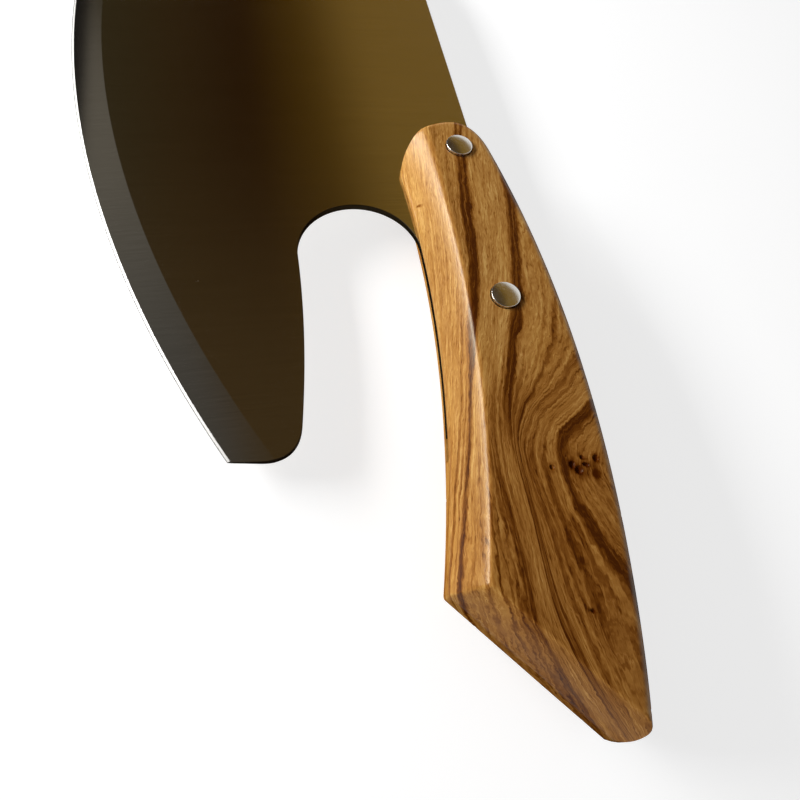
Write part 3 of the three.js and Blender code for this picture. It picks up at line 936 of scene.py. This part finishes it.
# Noise along the grain: length and width of its features, detail, roughness, and weight in the tone
WOOD_LAYERS = {
    "bands": (90, 3.2, 1, 0.55, 0.14), "lines": (45, 1.1, 3, 0.6, 0.24),
    "fibres": (9, 0.38, 4, 0.65, 0.46), "flecks": (1.6, 0.2, 2, 0.55, 0.30),
}
PORES = (2.4, 0.24, 1)
PORE_RANGE = (0.1, 0.45)
FRONT_RUN = (-26.0, -18.0)  # x and z over which the front's lower wood grows paler
FRONT_DEPTH = (6.5, 4.0)
REAR_RUN = (-85.0, -50.0)  # x and places in the grain over which the rear grows darker
REAR_GRAIN = (11.0, 6.6)
PLAIN_LIGHT = 0.77
PORE_LIGHT = -0.22
PATCH_LIGHT = 0.1
FRONT_LIGHT = 0.06
# painted highlight: how much paler the wood is painted along the butt arris
ARRIS_HIGHLIGHT_LIGHT = 0.16
REAR_LIGHT = -0.21
PIT_SHADE = 0.45
GOLD_TINT = (1.05, 0.98, 0.72, 1)
GOLD_RANGE = (-0.4, 0.5)
GOLD_SHARE = 0.4
GLOSS = 0.34
GLOSS_RANGE = (0.75, 0.45)  # turn from the eye where gloss begins, and where it is full
EDGE_GLOSS = 0.2  # share left on the worn edges


class Grain:
    """The place of each point across the grain, a little wavy, and noise that follows it."""

    def __init__(self, nodes, point, x, z):
        self.nodes, self.x, self.z = nodes, x, z
        self.place = nodes.attribute("grain")
        for scale, reach in GRAIN_WAVES:
            self.place = nodes.about(self.place, nodes.pattern(point, scale), reach)

    def noise(self, length, width, detail, roughness=0.55):
        across = self.nodes.times(self.place, 1 / width)
        along = self.nodes.times(self.x, 1 / length)
        depth = self.nodes.times(self.z, GRAIN_DEPTH)
        return self.nodes.noise(self.nodes.vector(along, across, depth), detail, roughness)

    def streaks(self):
        """How dark the streaks make each point."""
        nodes, dark = self.nodes, 0.0
        for place, to_back, to_belly, start, end, depth in STREAKS:
            past = nodes.math("SUBTRACT", self.place, place)
            sides = [nodes.times(past, factor) for factor in (1 / to_belly, -1 / to_back)]
            core = nodes.smooth(nodes.math("MAXIMUM", *sides), STREAK_FADE, 0.0, 0.0, depth)
            begins = nodes.smooth(self.x, start + STREAK_BEGIN, start - STREAK_BEGIN)
            ends = nodes.smooth(self.x, end - STREAK_END, end + STREAK_END)
            dark = nodes.math("MULTIPLY_ADD", nodes.times(core, begins), ends, dark)
        return nodes.math("MINIMUM", dark, DARKEST_STREAK)


def knot_shade(nodes, point):
    """How dark the wood is about the knot."""
    middle = Vector((*KNOT, HALF_HANDLE))
    off = nodes.add("ShaderNodeVectorMath", {0: point, 1: middle}, operation="SUBTRACT").outputs[0]
    reach = nodes.scaled(off, KNOT_STRETCH)
    away = nodes.add("ShaderNodeVectorMath", {0: reach}, operation="LENGTH").outputs["Value"]
    swirl = nodes.pattern(point, (0.5, 0.5, 0.5), detail=3)
    return nodes.smooth(nodes.about(away, swirl, KNOT_SWIRL), *KNOT_REACH, 0.0, KNOT_SHADE)


def wood_light(nodes, grain, layers, point):
    """How light the wood is before its streaks, knot and pits darken it."""
    light = PLAIN_LIGHT
    for name, layer in layers.items():
        light = nodes.about(light, layer, reach=WOOD_LAYERS[name][-1])
    light = nodes.about(light, nodes.pattern(point, (0.05, 0.11, 0.11)), PATCH_LIGHT)
    # painted highlight along the butt arris
    light = nodes.about(light, nodes.attribute("painted_arris_highlight"), ARRIS_HIGHLIGHT_LIGHT)
    pores = nodes.smooth(grain.noise(*PORES), *PORE_RANGE, 0.0, PORE_LIGHT)
    front = nodes.smooth(grain.x, *FRONT_RUN, 0.0, FRONT_LIGHT)
    rear = nodes.smooth(grain.x, *REAR_RUN, REAR_LIGHT, 0.0)
    return nodes.total(
        light, pores, nodes.times(front, nodes.smooth(grain.z, *FRONT_DEPTH)),
        nodes.times(rear, nodes.smooth(grain.place, *REAR_GRAIN)),
    )


def wood_gloss(nodes, pit, z):
    """The oil's gloss: none at a slant or in the pits, and little on the worn edges."""
    facing = nodes.add("ShaderNodeLayerWeight", {"Blend": 0.5}).outputs["Facing"]
    gloss = nodes.smooth(facing, *GLOSS_RANGE, 0.0, GLOSS)
    gloss = nodes.times(gloss, nodes.math("SUBTRACT", 1.0, pit))
    worn = nodes.smooth(nodes.math("ABSOLUTE", z), HALF_LAND, 2 * HALF_LAND, EDGE_GLOSS, 1.0)
    return nodes.times(gloss, worn)


def wood_material():
    """Oiled olive wood: streaks that follow the grain round the knot, fibres, flecks and pits."""
    material, nodes = new_material("olive_wood")
    point, x, _, z = nodes.place()
    grain, pit = Grain(nodes, point, x, z), nodes.attribute("pit")
    layers = {name: grain.noise(*layer[:-1]) for name, layer in WOOD_LAYERS.items()}
    uneven = nodes.about(1.0, grain.noise(*STREAK_PATCHES), STREAK_UNEVEN)
    streaks = nodes.times(grain.streaks(), uneven)
    # the pits' stain, with painted shade in their hollows
    dark = nodes.about(nodes.total(streaks, knot_shade(nodes, point)), pit, PIT_SHADE)
    light = wood_light(nodes, grain, layers, point)
    colour = nodes.ramp(nodes.math("SUBTRACT", light, dark), WOOD_TONES)
    golden = nodes.pattern(point, (0.03, 0.09, 0.09), detail=1)
    golden = nodes.smooth(golden, *GOLD_RANGE, 0.0, GOLD_SHARE)
    colour = nodes.mix(golden, colour, nodes.mix(1.0, colour, GOLD_TINT, "MULTIPLY"))
    nodes.set("Base Color", colour)
    nodes.set("Roughness", nodes.about(0.26, layers["fibres"], reach=0.06))
    nodes.set("Specular IOR Level", wood_gloss(nodes, pit, z))
    nodes.set("Specular Tint", OIL_TINT)
    relief = nodes.pattern(point, (2.2, 4.5, 4.5), detail=3, roughness=0.7)
    relief = nodes.about(relief, layers["flecks"], reach=0.6)
    relief = nodes.about(relief, layers["fibres"], reach=0.5)
    nodes.set("Normal", nodes.bump(relief, strength=0.6, distance=0.014 * MM))
    return material


# Stage

CAMERA_PLACE = Vector((-105.28, 48.8, 102.19))
CAMERA_BACK = Vector((-0.4117, 0.2214, 0.884))
CAMERA_UP = Vector((0.8928, -0.0964, 0.440))
CAMERA_LENS = 27.0
CAMERA_SENSOR = 36.0
CAMERA_CLIP = 5 * MM
# Points of the knife that touch the floor: front rivet, rear corner of the handle and cutting edge
RESTS_ON = (Vector((0, 0.77, -10.06)), Vector((-94.66, 17.35, -9.0)), Vector((70, 84.84, -0.15)))
FLOOR_GAP = 0.05 * MM
FLOOR_REACH = 3.0  # metres
FLOOR_TONES = ((0.49, 0.49, 0.49), (0.51, 0.51, 0.51))
FLOOR_GLOW = 0.70
AMBIENT = 0.22
KEY_PLACE = (210, 400, 215)
KEY_SIZE = (0.44, 0.09)
KEY_POWER = 3.9
# The card over the knife: its place, and its tones by y as linear colours
CARD_HEIGHT = 600.0
CARD_X = (-1500.0, 5000.0)
CARD_Y = (-800.0, 1000.0)
CARD_GLOW = 1.8
CARD_TONES = [
    (-190, (0.130, 0.076, 0.014)), (-100, (0.050, 0.025, 0.002)), (15, (0.0135, 0.0045, 0.0004)),
    (140, (0.022, 0.012, 0.003)), (250, (0.0235, 0.017, 0.006)),
]
CARD_NEAR = (0.042, 0.026, 0.009, 1)  # tone at its near end, and the x and y over which it comes in
CARD_NEAR_X = (760, 130)
CARD_NEAR_Y = (-260, -60)
CARD_NEAR_SHARE = 0.9
CARD_GREY = ((0.043, 0.041, 0.036), (0.093, 0.084, 0.067))  # tones past a slanting line, near and far
CARD_GREY_X = (150, 800)
CARD_LINE = (120.0, 0.2255)  # y of that line at x = 0, and its slope
CARD_LINE_BLUR = 60
FLAG_X = (-400.0, 500.0)
FLAG_Y = 100.0
FLAG_Z = (-5.0, 35.0)
FLAG_TONES = ((0.008, 0.007, 0.006), (0.02, 0.018, 0.015))


def in_frame(point):
    return rivet_axis + Vector(point) * MM


def make_camera():
    camera = bpy.data.objects.new("camera", bpy.data.cameras.new("camera"))
    back_axis = CAMERA_BACK.normalized()
    right = CAMERA_UP.cross(back_axis).normalized()
    up = back_axis.cross(right)
    turn = Matrix((right, up, back_axis)).transposed().to_4x4()
    camera.matrix_world = Matrix.Translation(in_frame(CAMERA_PLACE)) @ turn
    camera.data.lens = CAMERA_LENS
    camera.data.sensor_width = CAMERA_SENSOR
    camera.data.clip_start = CAMERA_CLIP
    bpy.context.scene.collection.objects.link(camera)
    bpy.context.scene.camera = camera


def make_floor():
    """The plane that the knife rests on."""
    a, b, c = (in_frame(point) for point in RESTS_ON)
    normal = (b - a).cross(c - a).normalized()
    normal *= math.copysign(1, normal.z)
    floor = make_board("floor", (-FLOOR_REACH,) * 2, (FLOOR_REACH,) * 2)
    floor.rotation_mode = "QUATERNION"
    floor.rotation_quaternion = normal.to_track_quat("Z", "Y")
    floor.location = a - normal * FLOOR_GAP
    material, nodes = new_material("pale_floor")
    mottle = nodes.pattern(nodes.place()[0], (0.02, 0.02, 0.02), detail=3)
    nodes.set("Base Color", nodes.tones(mottle, FLOOR_TONES))
    nodes.set("Roughness", 0.9)
    nodes.set("Specular IOR Level", 0.0)
    nodes.set("Emission Color", WHITE)
    nodes.set("Emission Strength", nodes.times(seen_directly(nodes), FLOOR_GLOW))
    floor.data.materials.append(material)


def seen_directly(nodes):
    """1 for what the camera sees, also mirrored, and 0 for the light that falls on the object."""
    path = nodes.add("ShaderNodeLightPath", {}).outputs
    rays = (path["Is Camera Ray"], path["Is Glossy Ray"], path["Is Transmission Ray"])
    return nodes.math("MINIMUM", nodes.total(*rays), 1.0)


def make_board(name, low, high):
    """A flat board of the stage, in metres."""
    mesh = bpy.data.meshes.new(name)
    corners = [(low[0], low[1], 0), (high[0], low[1], 0), (high[0], high[1], 0), (low[0], high[1], 0)]
    mesh.from_pydata(corners, [], [(0, 1, 2, 3)])
    board = bpy.data.objects.new(name, mesh)
    bpy.context.scene.collection.objects.link(board)
    return board


def show_in_gloss_only(board):
    board.visible_camera = board.visible_diffuse = False
    board.visible_shadow = board.visible_transmission = False


def make_card():
    """A dark, toned card over the knife, which only its polished surfaces see."""
    card = make_board("card", (CARD_X[0] * MM, CARD_Y[0] * MM), (CARD_X[1] * MM, CARD_Y[1] * MM))
    card.location = in_frame((0, 0, CARD_HEIGHT))
    show_in_gloss_only(card)
    material, nodes = new_material("card")
    _, x, y, _ = nodes.place()
    low, high = CARD_TONES[0][0], CARD_TONES[-1][0]
    stops = [((place - low) / (high - low), tone) for place, tone in CARD_TONES]
    colour = nodes.ramp(nodes.math("DIVIDE", nodes.math("SUBTRACT", y, low), high - low), stops)
    near = nodes.smooth(x, *CARD_NEAR_X, 0.0, CARD_NEAR_SHARE)
    near = nodes.times(near, nodes.smooth(y, *CARD_NEAR_Y))
    colour = nodes.mix(near, colour, CARD_NEAR)
    past = nodes.math("SUBTRACT", y, nodes.math("MULTIPLY_ADD", x, CARD_LINE[1], CARD_LINE[0]))
    grey = nodes.ramp(nodes.smooth(x, *CARD_GREY_X), list(enumerate(CARD_GREY)))
    nodes.set("Emission Color", nodes.mix(nodes.smooth(past, 0, CARD_LINE_BLUR), colour, grey))
    nodes.set("Emission Strength", CARD_GLOW)
    nodes.set("Base Color", (0, 0, 0, 1))
    nodes.set("Specular IOR Level", 0)
    card.data.materials.append(material)


def make_flag():
    """A low black flag that keeps the floor's glare off the belly facet."""
    low, high = FLAG_Z
    flag = make_board("flag", (FLAG_X[0] * MM, low * MM), (FLAG_X[1] * MM, high * MM))
    flag.rotation_euler.x = QUARTER
    flag.location = in_frame((0, FLAG_Y, 0))
    show_in_gloss_only(flag)
    material, nodes = new_material("black_flag")
    cloth = nodes.pattern(nodes.place()[0], (0.8, 0.8, 0.8))
    nodes.set("Base Color", nodes.tones(cloth, FLAG_TONES))
    nodes.set("Specular IOR Level", 0)
    flag.data.materials.append(material)


def make_light():
    world = bpy.data.worlds.new("studio")
    world.use_nodes = True
    nodes = Nodes(world.node_tree, "Background")
    nodes.set("Color", WHITE)
    nodes.set("Strength", nodes.about(AMBIENT, seen_directly(nodes), 1 - AMBIENT))
    bpy.context.scene.world = world
    key = bpy.data.lights.new("key", "AREA")
    key.shape = "RECTANGLE"
    key.size, key.size_y = KEY_SIZE
    key.energy = KEY_POWER
    lamp = bpy.data.objects.new("key", key)
    bpy.context.scene.collection.objects.link(lamp)
    lamp.location = in_frame(KEY_PLACE)
    lamp.rotation_mode = "QUATERNION"
    lamp.rotation_quaternion = Vector((0, *KEY_PLACE[1:])).to_track_quat("Z", "Y")


build_blade(
    steel_material(),
    # the cut edge: steel painted near-black, a painted dark reflection
    lined_steel_material("cut_steel", (5, 5, 0.4), CUT_TONES, roughness=0.5, depth=0.03, tint=DARK_REFLECTION_TINT),
    lined_steel_material("honed_steel", (7, 0.5, 1), HONED_TONES, roughness=0.48, depth=0.02),
)
build_handle(wood_material())
build_rivets(rivet_material())
make_camera()
make_floor()
make_card()
make_flag()
make_light()
bpy.context.scene.view_settings.view_transform = "Standard"
